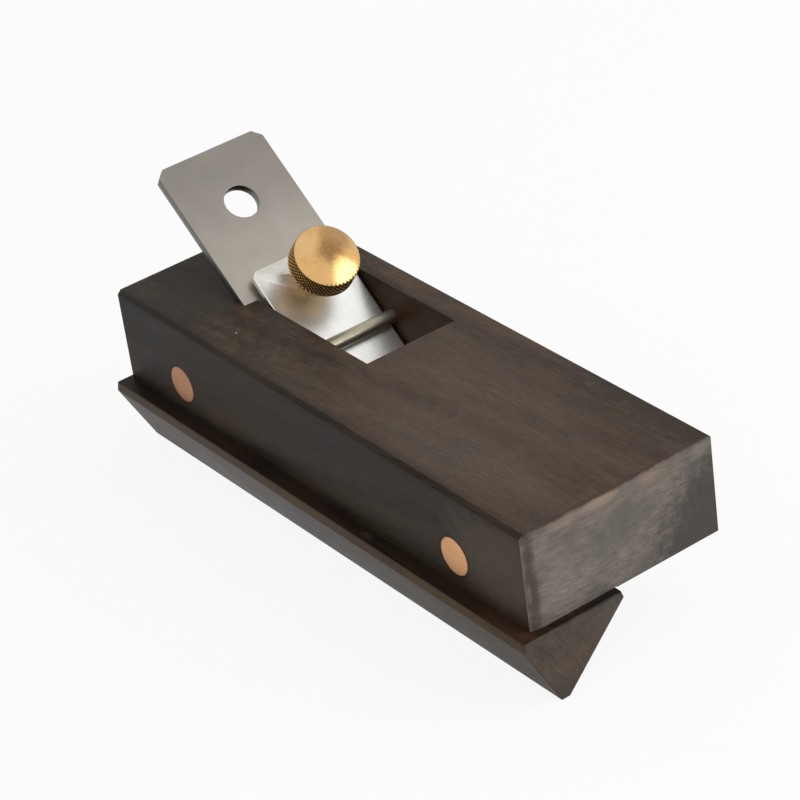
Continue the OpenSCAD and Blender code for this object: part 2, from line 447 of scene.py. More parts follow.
@dataclass(frozen=True)
class DarkWood:
    """Oiled dark hardwood: straight grain, pores, rubbed places, and painted light and shade.

    Attributes:
        name: The finish's name.
        tones: Dark and light tones for each way that the wood faces, with painted light and shade.
        grain_turn: The grain's turn out of the plane's length, about Y and Z in degrees.
        ring_turn: The turn of the lines on the end grain, about X in degrees.
        patches: Places with another tone, some of them painted light and shade.
        rings: Middles, in X and Z, of the dark rings round metal let into the near side.
        ring_radius: Radius of those rings.
        ring_tone: Colour of those rings.
        arris: A point on the near top arris, along which shade is painted.
        arris_shade: How much darker that painted shade makes the wood.
        blush: What the wood's colour is multiplied by where it is redder.
        shine: Roughness of the oiled surface.
    """

    name: str
    tones: dict[Face, tuple[Triple, Triple]]
    grain_turn: Pair
    ring_turn: float = 0.0
    patches: tuple[Patch, ...] = ()
    rings: tuple[Pair, ...] = ()
    ring_radius: float = 4.5
    ring_tone: Triple = (0.012, 0.006, 0.004)
    arris: Triple = (0.0, -25.5, 24.0)
    arris_shade: float = 0.0
    blush: Triple = (1.2, 0.88, 0.8)
    shine: float = 0.45

    def material(self) -> Material:
        """Mixes the finish.

        Returns:
            The material.
        """
        shade = Shade(self.name)
        turn = (0.0, self.grain_turn[0], self.grain_turn[1])
        nx, ny, nz = shade.normal
        ways = {
            Face.END: abs(nx).rise(0.45, 0.75),
            Face.TOP: nz.rise(0.35, 0.95),
            Face.UNDER: (nz * -1).rise(0.2, 0.4),
            Face.NEAR: (ny * -1).rise(0.6, 0.9),
        }
        end = ways[Face.END]
        fibre = shade.noise((0.05, 1.7, 1.7), 5.0, 0.66, 0.08, turn)
        fine = shade.noise((0.085, 3.8, 3.8), turn=turn, shift=(1, 2, 3))
        band = shade.noise((0.01, 0.16, 0.2), 3.0, 0.5, 0.3, turn, (3, 7, 11))
        lines = (self.ring_turn, 0, 0)
        ring = shade.noise((0.2, 0.13, 1.2), 5.0, 0.7, 0.2, lines, (5, 5, 5))
        score = shade.noise((0.3, 0.32, 4.0), turn=lines, shift=(2, 8, 1))
        mottle = shade.noise((0.34, 0.34, 0.4), 4.0, 0.65, shift=(6, 3, 9))
        cloud = shade.noise((0.05, 0.07, 0.09), 3.0, 0.5, shift=(9, 1, 4))
        spots, shades = mottle - 0.5, cloud - 0.5
        along = (fibre - 0.5) * 1.5 + (band - 0.5) * 1.4 + (fine - 0.5) * 0.7 + spots * 0.3
        across = (ring - 0.5) * 1.1 + (score - 0.5) * 0.8 + spots * 0.9
        lift = (along * (1 - end) + across * end + shades + 0.45).clamped()
        stroke = fine.rise(0.48, 0.72) * fibre.rise(0.3, 0.6) * (1 - end)
        stroke = stroke + score.rise(0.5, 0.66) * end
        tone = {way: shade.mix(lift, *pair) for way, pair in self.tones.items()}
        colour = tone[Face.NEAR]
        for way in (Face.TOP, Face.UNDER, Face.END):
            colour = shade.mix(ways[way], colour, tone[way])
        warm = (spots * 1.2 + shades * 2.0 + (band - 0.5) * 0.8 + 0.35).clamped()
        colour = shade.mix(warm * 0.4, colour, shade.vector("MULTIPLY", colour, self.blush))
        ragged = along * 0.4 + shades + spots * 0.8
        for patch in self.patches:
            colour = self._patched(shade, colour, patch, ways, stroke, ragged)
        pores = fine.rise(0.38, 0.28) * (1 - end) * 0.12 + score.rise(0.4, 0.28) * end * 0.3
        colour = shade.brighten(colour, 1 - pores)
        # Painted shade: a soft dark band along the near top arris.
        if self.arris_shade:
            arris = shade.from_line(self.arris, (1, 0, 0)) + spots * 1.4
            colour = shade.brighten(colour, 1 - arris.rise(3.4, 0.6) * self.arris_shade)
        for x, z in self.rings:
            away = shade.from_line((x, 0, z), (0, 1, 0))
            rim = away.rise(self.ring_radius + 0.8, self.ring_radius + 0.1)
            colour = shade.mix(rim * ways[Face.NEAR] * 0.8, colour, self.ring_tone)
        rough = (fibre - 0.5) * 0.25 + shades * 0.2 + self.shine + end * 0.08
        height = fibre * (1 - end) + ring * end
        relief = shade.relief([(height, 0.05), (fine, 0.025), (mottle, 0.03), (cloud, 0.06)])
        return shade.finish(
            Base_Color=colour,
            Roughness=rough.clamped(),
            Normal=relief,
            Specular_IOR_Level=0.09,
            Metallic=0.0,
        )

    @staticmethod
    def _patched(
        shade: Shade,
        colour: Socket,
        patch: Patch,
        ways: dict[Face, Value],
        stroke: Value,
        ragged: Value,
    ) -> Socket:
        """Lays one patch over the wood.

        Args:
            shade: The finish being mixed.
            colour: The colour under the patch.
            patch: The patch.
            ways: How much the surface faces each way.
            stroke: Where the grain shows light strokes, from 0 to 1.
            ragged: What roughens the patch's outline.

        Returns:
            The colour's socket.
        """
        reach = shade.distance(patch.centre, patch.radii) + ragged
        share = reach.rise(PATCH_RIM, 0.3) * patch.strength
        if patch.broken:
            share = share * (stroke * patch.broken + (1 - patch.broken))
        if patch.way is not None:
            share = share * ways[patch.way]
        return shade.mix(share, colour, patch.tone)


@dataclass(frozen=True)
class FlushMetal:
    """Copper-coloured dowel ends, sanded flush with the wood.

    Attributes:
        name: The finish's name.
        tone: Colour of the clean metal.
        rim_tone: Colour of the tarnish at its rim.
        centre: Middle of the end, in X and Z.
        radius: Its radius.
    """

    name: str
    tone: Triple
    rim_tone: Triple
    centre: Pair
    radius: float = 4.5

    def material(self) -> Material:
        """Mixes the finish.

        Returns:
            The material.
        """
        shade = Shade(self.name)
        scratch = shade.noise((0.2, 3.0, 4.0), 4.0, turn=(0, 24, 0))
        cloud = shade.noise(0.3, 3.0, 0.55)
        x, z = self.centre
        rim = shade.from_line((x, 0, z), (0, 1, 0)).rise(self.radius - 0.55, self.radius)
        colour = shade.mix((cloud - 0.5) * 0.9 + rim * 0.6 + 0.1, self.tone, self.rim_tone)
        colour = shade.brighten(colour, 0.93 + scratch * 0.14)
        rough = 0.52 + (scratch - 0.5) * 0.25
        relief = shade.relief([(scratch, 0.005)])
        return shade.finish(Base_Color=colour, Metallic=0.6, Roughness=rough, Normal=relief)


@dataclass(frozen=True)
class GroundSteel:
    """Tool steel, ground along its length, with painted shade towards its top end.

    Attributes:
        name: The finish's name.
        light: Tone of the bright bands.
        dark: Tone of the dull bands.
        wall: Painted shade on the sides and on the hole's wall.
        slope: The blade's slope to the sole in degrees.
        hole: A point on the hole's axis.
        hole_axis: The hole's axis, of length 1.
        hole_radius: The hole's radius.
        painted_shade_from: Height above the sole from which shade is painted on the steel.
        painted_shade_full: Height above the sole from which that painted shade is deepest.
    """

    name: str
    light: Triple
    dark: Triple
    wall: Triple
    slope: float
    hole: Triple
    hole_axis: Triple
    hole_radius: float
    painted_shade_from: float = 22.0
    painted_shade_full: float = 46.0

    def material(self) -> Material:
        """Mixes the finish.

        Returns:
            The material.
        """
        shade = Shade(self.name)
        turn = (0.0, self.slope, 0.0)
        nx, ny, nz = shade.normal
        grind = shade.noise((0.04, 5.0, 5.0), 4.0, turn=turn)
        band = shade.noise((0.005, 0.1, 0.1), 2.0, 0.5, turn=turn, shift=(0, 4, 0))
        pit = shade.noise(1.5, 2.0, 0.5)
        stain = shade.noise((0.03, 0.05, 0.05), turn=turn, shift=(8, 0, 0))
        share = (band - 0.5) * 1.6 + (grind - 0.5) * 0.35 + (stain - 0.5) * 0.7 + 0.45
        colour = shade.mix(share.clamped(), self.light, self.dark)
        # Painted shade: the steel darker towards its top end.
        colour = shade.brighten(colour, 1 - shade.z.rise(self.painted_shade_from, self.painted_shade_full) * 0.4)
        # Painted shade on the blade's sides and on the hole's wall.
        side = abs(ny).rise(0.6, 0.9)
        away = shade.from_line(self.hole, self.hole_axis)
        near_hole = away.rise(self.hole_radius + 0.2, self.hole_radius + 0.05)
        facing = abs(nx * self.hole_axis[0] + nz * self.hole_axis[2])
        round_wall = near_hole * facing.rise(0.8, 0.5)
        colour = shade.mix(side.either(round_wall) * 0.9, colour, self.wall)
        colour = shade.brighten(colour, 1 - pit.rise(0.27, 0.2) * 0.35)
        rough = 0.4 + (grind - 0.5) * 0.2 + (stain - 0.5) * 0.1
        relief = shade.relief([(grind, 0.004), (pit, 0.003)])
        return shade.finish(Base_Color=colour, Metallic=1.0, Roughness=rough, Normal=relief)


@dataclass(frozen=True)
class BrightPlate:
    """Bright nickel plate over a sheet with a fine orange-peel grain.

    Attributes:
        name: The finish's name.
        tone: Colour of the plate.
        dull: Colour of the plate where it is hazy.
        patches: Places with another tone, painted reflection and shade on the cap.
        grain: Height of the fine grain.
    """

    name: str
    tone: Triple
    dull: Triple
    patches: tuple[Patch, ...] = ()
    grain: float = 0.014

    def material(self) -> Material:
        """Mixes the finish.

        Returns:
            The material.
        """
        shade = Shade(self.name)
        peel = shade.noise(2.9, 3.0, 0.65)
        wave = shade.noise(0.15, 2.0, 0.5)
        haze = shade.noise(0.3, shift=(2, 6, 1))
        colour = shade.mix((haze - 0.35) * 1.2 + (peel - 0.5) * 1.6, self.tone, self.dull)
        ragged = (haze - 0.5) * 0.8 + (peel - 0.5) * 0.5
        # Painted reflection and shade where the patches lie.
        for patch in self.patches:
            reach = shade.distance(patch.centre, patch.radii) + ragged
            colour = shade.mix(reach.rise(PATCH_RIM, 0.3) * patch.strength, colour, patch.tone)
        colour = shade.brighten(colour, 1 - peel.rise(0.5, 0.3) * 0.14)
        rough = 0.33 + (haze - 0.5) * 0.12
        relief = shade.relief([(peel, self.grain), (wave, 0.06)])
        return shade.finish(Base_Color=colour, Metallic=1.0, Roughness=rough, Normal=relief)


@dataclass(frozen=True)
class TurnedMetal:
    """Metal turned on a lathe, with fine rings round its axis.

    Attributes:
        name: The finish's name.
        tone: Colour of the clean metal.
        deep_tone: Colour where tarnish stays, in knurls and threads.
        point: A point on the axis.
        axis: The axis, of length 1.
        tarnished: Radii between which tarnish is thick on walls. It is thinner nearer the axis.
        ring_height: Height of the turning rings.
        ringed_to: Radius up to which coarser rings show.
        shine: Roughness of the clean metal.
        patches: Places with another tone, painted reflection on the knob's top.
    """

    name: str
    tone: Triple
    deep_tone: Triple
    point: Triple
    axis: Triple
    tarnished: Pair
    ring_height: float = 0.01
    ringed_to: float = 5.0
    shine: float = 0.24
    patches: tuple[Patch, ...] = ()

    def material(self) -> Material:
        """Mixes the finish.

        Returns:
            The material.
        """
        shade = Shade(self.name)
        away = shade.from_line(self.point, self.axis)
        cloud = shade.noise(0.3)
        speck = shade.noise(1.3, 2.0, 0.5)
        rings = ((away * 21.0 + cloud * 3.0).sine() + (away * 47.0).sine() * 0.5) * 0.33
        nx, ny, nz = shade.normal
        facing = nx * self.axis[0] + ny * self.axis[1] + nz * self.axis[2]
        open_face = facing.rise(0.4, 0.65)
        inner, outer = self.tarnished
        thick = away.rise(inner, inner + 0.2) * 0.45 + 0.55
        deep = (1 - open_face) * thick * away.rise(outer, outer - 0.2)
        groove = (away * 6.3 + cloud * 1.5).sine() * away.rise(self.ringed_to, 0.5)
        share = (cloud - 0.45) * 0.6 + rings * 0.14 + groove * 0.12
        colour = shade.mix(share, self.tone, self.deep_tone)
        # Painted reflection where the patches lie.
        for patch in self.patches:
            reach = shade.distance(patch.centre, patch.radii) + (cloud - 0.5) * 0.8
            share = reach.rise(PATCH_RIM, 0.4) * open_face * patch.strength
            colour = shade.mix(share, colour, patch.tone)
        colour = shade.brighten(colour, 1 - groove.rise(0.2, 1.0) * 0.16)
        colour = shade.mix(deep * 0.95, colour, self.deep_tone)
        colour = shade.brighten(colour, 1 - speck.rise(0.3, 0.22) * 0.35)
        rough = self.shine + (cloud - 0.5) * 0.16 + deep * 0.25
        relief = shade.relief([(rings * open_face, self.ring_height), (speck, 0.004)])
        return shade.finish(
            Base_Color=colour,
            Metallic=1.0,
            Roughness=rough.clamped(),
            Normal=relief,
            Coat_Roughness=0.2,
            Coat_Weight=open_face * 0.12,
        )


# ---------------------------------------------------------------- mesh helpers


class Workshop:
    """Operations that several of the plane's pieces share."""

    @staticmethod
    def piece(name: str, shape: Shape, material: Material) -> bpy.types.Object:
        """Turns a finished shape into an object.

        Args:
            name: The piece's name.
            shape: The shape, which is freed.
            material: Its finish.

        Returns:
            The object, at the origin.
        """
        mesh = bpy.data.meshes.new(name)
        shape.to_mesh(mesh)
        shape.free()
        mesh.materials.append(material)
        made = bpy.data.objects.new(name, mesh)
        bpy.context.scene.collection.objects.link(made)
        return made

    @staticmethod
    def merged_copy(node: str) -> Shape:
        """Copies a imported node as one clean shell.

        Args:
            node: The node's name.

        Returns:
            The shell, with its flat faces whole again.
        """
        shape = bmesh.new()
        shape.from_mesh(frame["nodes"][node].data)
        bmesh.ops.remove_doubles(shape, verts=shape.verts[:], dist=MERGE_WITHIN)
        bmesh.ops.dissolve_limit(
            shape,
            angle_limit=FLAT_WITHIN,
            verts=shape.verts[:],
            edges=shape.edges[:],
            use_dissolve_boundaries=False,
        )
        return shape

    @staticmethod
    def ease_edges(
        shape: Shape,
        radius: float,
        wanted: Callable[[Edge], bool],
        segments: int = 3,
    ) -> None:
        """Rounds the sharp edges of a shell a little.

        Args:
            shape: The shell.
            radius: How far each edge is taken back.
            wanted: Says of a sharp edge whether it is eased.
            segments: Facets across each eased edge.
        """
        sharp = [
            edge
            for edge in shape.edges
            if edge.is_manifold and edge.calc_face_angle(0.0) > SHARP_FROM and wanted(edge)
        ]
        made = bmesh.ops.bevel(
            shape,
            geom=sharp,
            offset=radius * MM,
            offset_type="OFFSET",
            segments=segments,
            profile=0.5,
            affect="EDGES",
            material=-1,
            clamp_overlap=True,
            miter_outer="ARC",
        )
        for face in made["faces"]:
            face.smooth = True

    @staticmethod
    def smooth_curves(shape: Shape, limit: float = 20.0) -> None:
        """Shades the facets of round walls smoothly and leaves flat faces flat.

        Args:
            shape: The shell.
            limit: The largest angle, in degrees, between facets of one round wall.
        """
        least, most = math.radians(0.5), math.radians(limit)
        for edge in shape.edges:
            if edge.is_manifold and least < edge.calc_face_angle(0.0) < most:
                for face in edge.link_faces:
                    if len(face.verts) <= 4:
                        face.smooth = True

    @staticmethod
    def turned(profile: Sequence[Pair], steps: int) -> Shape:
        """Turns a profile round local Z into a closed shape.

        Args:
            profile: Pairs of radius and height in millimetres, from one end to the other.
            steps: Facets round the axis.

        Returns:
            The turned shape.
        """
        shape = bmesh.new()
        points = [shape.verts.new((r * MM, 0.0, z * MM)) for r, z in profile]
        line = [shape.edges.new(pair) for pair in zip(points, points[1:])]
        bmesh.ops.spin(
            shape,
            geom=points + line,
            cent=(0, 0, 0),
            axis=(0, 0, 1),
            dvec=(0, 0, 0),
            angle=math.tau,
            steps=steps,
            use_merge=True,
            use_duplicate=False,
        )
        bmesh.ops.remove_doubles(shape, verts=shape.verts[:], dist=1e-7)
        bmesh.ops.recalc_face_normals(shape, faces=shape.faces[:])
        for face in shape.faces:
            face.smooth = True
        return shape

    @staticmethod
    def crease(shape: Shape, limit: float = 32.0) -> None:
        """Marks the edges of a turned shape that stay crisp.

        Args:
            shape: The shape.
            limit: The angle in degrees from which an edge is crisp.
        """
        for edge in shape.edges:
            if edge.is_manifold and edge.calc_face_angle(0.0) > math.radians(limit):
                edge.smooth = False


def carried(made: bpy.types.Object, node: str, body: str) -> None:
    """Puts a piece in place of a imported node.

    Args:
        made: The piece.
        node: The node that it stands for.
        body: The body that it rides on.
    """
    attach(made, body)
    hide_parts(node)
    LOG.info("%s stands for %s on %s, %d faces", made.name, node, body, len(made.data.polygons))


# ---------------------------------------------------------------- sub-assemblies


@dataclass
class Stock:
    """The wooden body: the block and the fence rail under it.

    Attributes:
        body: The body that it rides on.
        block_ease: Rounding of the block's outer edges.
        throat_ease: Rounding of the throat's edges.
        rail_ease: Rounding of the rail's edges.
        half_length: Half of the block's length.
        half_width: Half of the block's width.
        height: Height of the block.
        dowels: Middles of the dowels in X and Z.
        long_edge: Length from which an edge can be a long arris.
        throat_reach: How far from the middle the edges of the throat lie, in X and Y.
        notch: Where the blade's notch in the rail begins and ends, in X.
    """

    body: str = "stock"
    block_ease: float = 0.28
    throat_ease: float = 0.16
    rail_ease: float = 0.25
    half_length: float = 75.0
    half_width: float = 25.5
    height: float = 24.0
    dowels: tuple[Pair, ...] = ((50.5, 7.8), (-51.9, 7.8))
    long_edge: float = 120.0
    throat_reach: Pair = (50.0, 22.9)
    notch: Pair = (-21.0, -12.0)

    def build(self) -> None:
        """Makes both pieces."""
        self._block()
        self._rail()

    @staticmethod
    def _patches_with_painted_light() -> tuple[Patch, ...]:
        """Lists the block's worn places, specks and streaks, and its painted light and shade.

        Returns:
            The patches, from the widest to the smallest.
        """
        return (
            Patch((-55, 0, 24), (42, 45, 4), (0.021, 0.016, 0.011), 0.8, Face.TOP),
            Patch((42, -14, 24), (38, 10, 3), (0.17, 0.128, 0.1), 0.6, Face.TOP, 0.6),
            Patch((30, 4, 24), (44, 14, 3), (0.145, 0.108, 0.086), 0.5, Face.TOP, 0.6),
            Patch((-25, -19, 24), (22, 4, 3), (0.10, 0.08, 0.058), 0.5, Face.TOP, 1.0),
            Patch((-36.9, -17.7, 24), (0.35, 0.35, 1), (0.5, 0.45, 0.4), 0.9, Face.TOP),
            Patch((62, 24, 24), (34, 6, 3), (0.028, 0.022, 0.017), 0.7, Face.TOP),
            # Painted light: the near side lighter towards the toe.
            Patch((66, -25.5, 13), (20, 3, 16), (0.115, 0.086, 0.06), 0.75, Face.NEAR, 0.35),
            Patch((18, -25.5, 9), (36, 3, 5), (0.085, 0.066, 0.045), 0.5, Face.NEAR, 1.0),
            # Painted light on the far wall of the throat, above the near side's painted shade.
            Patch((-20, 19, 15), (22, 1.2, 14), (0.085, 0.045, 0.023), 0.85, Face.NEAR),
            # Painted reflection on the toe: its far half darker.
            Patch((75, 29, 1), (3, 27, 22), (0.06, 0.055, 0.05), 0.9, Face.END),
            # Pinkish-tan streaks low on the toe's near half, lighter there as painted reflection.
            Patch((75, -15, 8), (3, 11, 7), (0.28, 0.235, 0.2), 0.7, Face.END, 0.7),
            Patch((75, 0, 14), (3, 14, 7), (0.105, 0.103, 0.088), 0.6, Face.END, 0.2),
            Patch((75, -14, 22.2), (2, 5, 1.7), (0.33, 0.235, 0.185), 0.7, Face.END, 0.4),
            Patch((75, -5, 22.6), (2, 6, 1.9), (0.36, 0.25, 0.19), 0.8, Face.END, 0.3),
            Patch((75, 8.5, 22), (2, 4, 1.9), (0.3, 0.195, 0.15), 0.75, Face.END, 0.3),
            Patch((75, 22.5, 22.4), (2, 3.2, 2.2), (0.26, 0.24, 0.21), 0.6, Face.END, 0.5),
            # Painted shade on the facet between the toe and the near side.
            Patch((74.6, -24, 11), (1.8, 2.1, 18), (0.075, 0.06, 0.048), 0.9, Face.END),
            # Painted highlight: a thin light line down the near front corner.
            Patch((74.3, -25.4, 12), (0.5, 0.35, 14), (0.17, 0.14, 0.11), 0.7, Face.END),
            # Painted shade: a dark line along the toe's top edge.
            Patch((74.8, 0, 24.1), (1.0, 32, 1.0), (0.06, 0.036, 0.026), 0.85),
            Patch((74.4, -24.6, 9.5), (0.8, 0.6, 3), (0.26, 0.23, 0.19), 0.6, Face.END, 0.5),
        )

    def _outer(self, edge: Edge) -> bool:
        """Says whether an edge of the block lies on its outside.

        Args:
            edge: The edge.

        Returns:
            True on the block's ends, its long arrises and the upper end of its corner.
        """
        middle = (edge.verts[0].co + edge.verts[1].co) / 2 / MM
        at_end = abs(abs(middle.x) - self.half_length) < 0.8
        at_side = abs(abs(middle.y) - self.half_width) < 1.2
        is_long = edge.calc_length() > self.long_edge * MM
        return at_end or (at_side and is_long and middle.z > 5)

    def _mouth_of_throat(self, edge: Edge) -> bool:
        """Says whether an edge runs round the throat on the top of the block.

        Args:
            edge: The edge.

        Returns:
            True if it does.
        """
        reach_x, reach_y = self.throat_reach
        ends = [vert.co / MM for vert in edge.verts]
        on_top = all(abs(end.z - self.height) < 0.01 for end in ends)
        return on_top and all(abs(end.x) < reach_x and abs(end.y) < reach_y for end in ends)

    def _block(self) -> None:
        """Makes the block."""
        shape = Workshop.merged_copy("plane_block")
        Workshop.ease_edges(shape, self.block_ease, self._outer)
        Workshop.ease_edges(shape, self.throat_ease, self._mouth_of_throat, 2)
        Workshop.smooth_curves(shape)
        finish = DarkWood(
            name="block_wood",
            tones={
                Face.TOP: ((0.03, 0.021, 0.0145), (0.104, 0.074, 0.05)),
                # The near side's tones are painted shade, darker than the top's.
                Face.NEAR: ((0.012, 0.008, 0.005), (0.048, 0.036, 0.024)),
                Face.END: ((0.09, 0.082, 0.07), (0.23, 0.208, 0.182)),
                Face.UNDER: ((0.02, 0.014, 0.01), (0.06, 0.043, 0.03)),
            },
            grain_turn=(7.0, -3.0),
            ring_turn=2.0,
            patches=self._patches_with_painted_light(),
            rings=self.dowels,
            arris_shade=0.3,
        ).material()
        made = Workshop.piece("block", shape, finish)
        carried(made, "plane_block", self.body)

    def _rail(self) -> None:
        """Makes the fence rail."""
        shape = Workshop.merged_copy("fence_rail")
        ends = self.half_length - 1.0

        def wanted(edge: Edge) -> bool:
            """Says whether an edge is one of the rail's own arrises.

            Args:
                edge: The edge.

            Returns:
                True outside the tenons and the blade's notch.
            """
            places = [vert.co / MM for vert in edge.verts]
            low = min(place.z for place in places)
            outward = all(at.y < -20 or at.z < -0.3 or abs(at.x) > ends for at in places)
            in_notch = all(self.notch[0] < at.x < self.notch[1] for at in places) and low > -3
            return outward and not in_notch and low < 1.0

        Workshop.ease_edges(shape, self.rail_ease, wanted)
        Workshop.smooth_curves(shape)
        finish = DarkWood(
            name="rail_wood",
            tones={
                # The top's tones are painted shade for the ledge by the block.
                Face.TOP: ((0.012, 0.0075, 0.005), (0.04, 0.025, 0.016)),
                Face.NEAR: ((0.06, 0.042, 0.027), (0.12, 0.088, 0.055)),
                Face.END: ((0.045, 0.036, 0.028), (0.108, 0.09, 0.072)),
                Face.UNDER: ((0.04, 0.035, 0.03), (0.085, 0.075, 0.065)),
            },
            grain_turn=(0.0, 2.0),
            ring_turn=62.0,
            patches=(
                # Reddish torn grain on the ledge near the toe, lighter there as painted light.
                Patch((68, -27, 0.2), (14, 3, 1), (0.13, 0.058, 0.032), 0.75, Face.TOP, 0.6),
                # Painted shadow: a near-black strip on the rail's top in front of the block.
                Patch((76.4, -8, 0.3), (1.4, 20, 0.9), (0.012, 0.01, 0.008), 0.95),
                Patch((20.7, -27.3, 0.2), (2.6, 1.3, 1), (0.11, 0.085, 0.066), 0.8, Face.TOP, 0.6),
                Patch((77, -6, -7), (1, 3.5, 9), (0.085, 0.078, 0.066), 0.6, Face.END),
                Patch((77, -20, -15), (1, 5, 5), (0.055, 0.048, 0.039), 0.6, Face.END),
                Patch((0, -25, -10), (34, 6, 9), (0.03, 0.026, 0.022), 0.7, Face.UNDER),
                Patch((60, -25, -10), (28, 6, 9), (0.032, 0.028, 0.022), 0.55, Face.UNDER),
            ),
            shine=0.5,
        ).material()
        made = Workshop.piece("rail", shape, finish)
        carried(made, "fence_rail", self.body)


@dataclass
class Metalwork:
    """The two dowels that lock the rail and the pin that the lever cap bears on.

    Attributes:
        body: The body that they ride on.
        dowel_rim: Rounding of a dowel's rim.
        pin_rim: Chamfer at the pin's ends.
        steps: Facets round each piece.
    """

    body: str = "stock"
    dowel_rim: float = 0.12
    pin_rim: float = 0.25
    steps: int = 96

    def build(self) -> None:
        """Makes the three pieces."""
        for node, tone, rim in (
            ("front_dowel", (0.74, 0.40, 0.19), (0.46, 0.22, 0.1)),
            ("rear_dowel", (0.47, 0.23, 0.125), (0.3, 0.12, 0.06)),
        ):
            low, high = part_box(node)
            centre = (low + high) / 2 / MM
            finish = FlushMetal(f"{node}_copper", tone, rim, (centre.x, centre.z)).material()
            made = self._bar(node, self.dowel_rim, finish, f"{node}_metal")
            carried(made, node, self.body)
        low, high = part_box("cross_pin")
        middle = (low + high) / 2 / MM
        steel = TurnedMetal(
            name="pin_steel",
            tone=(0.46, 0.43, 0.33),
            deep_tone=(0.31, 0.285, 0.215),
            point=tuple(middle),
            axis=(0, 1, 0),
            tarnished=(0.0, 0.3),
            shine=0.42,
        ).material()
        made = self._bar("cross_pin", self.pin_rim, steel, "pin")
        carried(made, "cross_pin", self.body)

    def _bar(self, node: str, rim: float, finish: Material, name: str) -> bpy.types.Object:
        """Turns a round bar across the plane.

        Args:
            node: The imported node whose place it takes.
            rim: Rounding at both ends.
            finish: Its material.
            name: The piece's name.

        Returns:
            The bar.
        """
        low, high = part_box(node)
        radius, length = (high.x - low.x) / 2 / MM, (high.y - low.y) / MM
        crown = rim * 0.25
        end = [(0, 0), (radius - rim, crown), (radius - rim * 0.3, rim * 0.45)]
        end += [(radius, rim + crown)]
        profile = [*end, (radius, length / 3), (radius, 2 * length / 3)]
        profile += [(r, length - z) for r, z in reversed(end)]
        shape = Workshop.turned(profile, self.steps)
        Workshop.crease(shape, 40)
        middle = (low + high) / 2
        where = axis_frame(Vector((middle.x, low.y, middle.z)), Vector((0, 1, 0)))
        bmesh.ops.transform(shape, matrix=where, verts=shape.verts[:])
        return Workshop.piece(name, shape, finish)


@dataclass
class Cutter:
    """The blade.

    Attributes:
        body: The body that it rides on.
        ease: Rounding of its edges.
        edge_height: Height above the sole under which the cutting edge stays sharp.
    """

    body: str = "blade"
    ease: float = 0.14
    edge_height: float = 1.6

    def build(self) -> None:
        """Makes the blade."""
        shape = Workshop.merged_copy("blade")

        def wanted(edge: Edge) -> bool:
            """Says whether an edge is away from the cutting edge."""
            return max(v.co.z for v in edge.verts) > self.edge_height * MM

        Workshop.ease_edges(shape, self.ease, wanted, 2)
        Workshop.smooth_curves(shape, 25)
        slope = math.degrees(math.asin(-row_named(frame["joints"], "blade_slide")["axis"][2]))
        hole = row_named(frame["record"]["mounts"], "blade_hole")
        finish = GroundSteel(
            name="blade_steel",
            light=(0.50, 0.447, 0.40),
            dark=(0.40, 0.377, 0.33),
            wall=(0.14, 0.135, 0.12),
            slope=slope,
            hole=tuple(place / MM for place in hole["pos_m"]),
            hole_axis=tuple(hole["axis"]),
            hole_radius=hole["dims"]["r_mm"],
        ).material()
        carried(Workshop.piece("cutting_iron", shape, finish), "blade", self.body)


@dataclass
class Clamp:
    """The lever cap.

    Attributes:
        body: The body that it rides on.
        ease: Rounding of its edges, which the plating makes soft.
    """

    body: str = "lever_cap"
    ease: float = 0.3

    def build(self) -> None:
        """Makes the lever cap."""
        shape = Workshop.merged_copy("lever_cap")
        Workshop.ease_edges(shape, self.ease, lambda edge: True, 3)
        Workshop.smooth_curves(shape, 35)
        # Painted reflection and shade: darker round the knob's foot, greyer towards both edges.
        patches = (
            Patch((-50, 3, 33), (10, 20, 10), (0.56, 0.54, 0.46), 0.9),
            Patch((-40, -6, 26), (16, 4, 16), (0.72, 0.72, 0.65), 0.8),
            Patch((-37, 19, 24), (16, 5, 16), (0.70, 0.71, 0.66), 0.8),
        )
        tone, dull = (0.985, 0.99, 0.96), (0.88, 0.89, 0.85)
        finish = BrightPlate("cap_nickel", tone, dull, patches).material()
        made = Workshop.piece("clamping_plate", shape, finish)
        carried(made, "lever_cap", self.body)


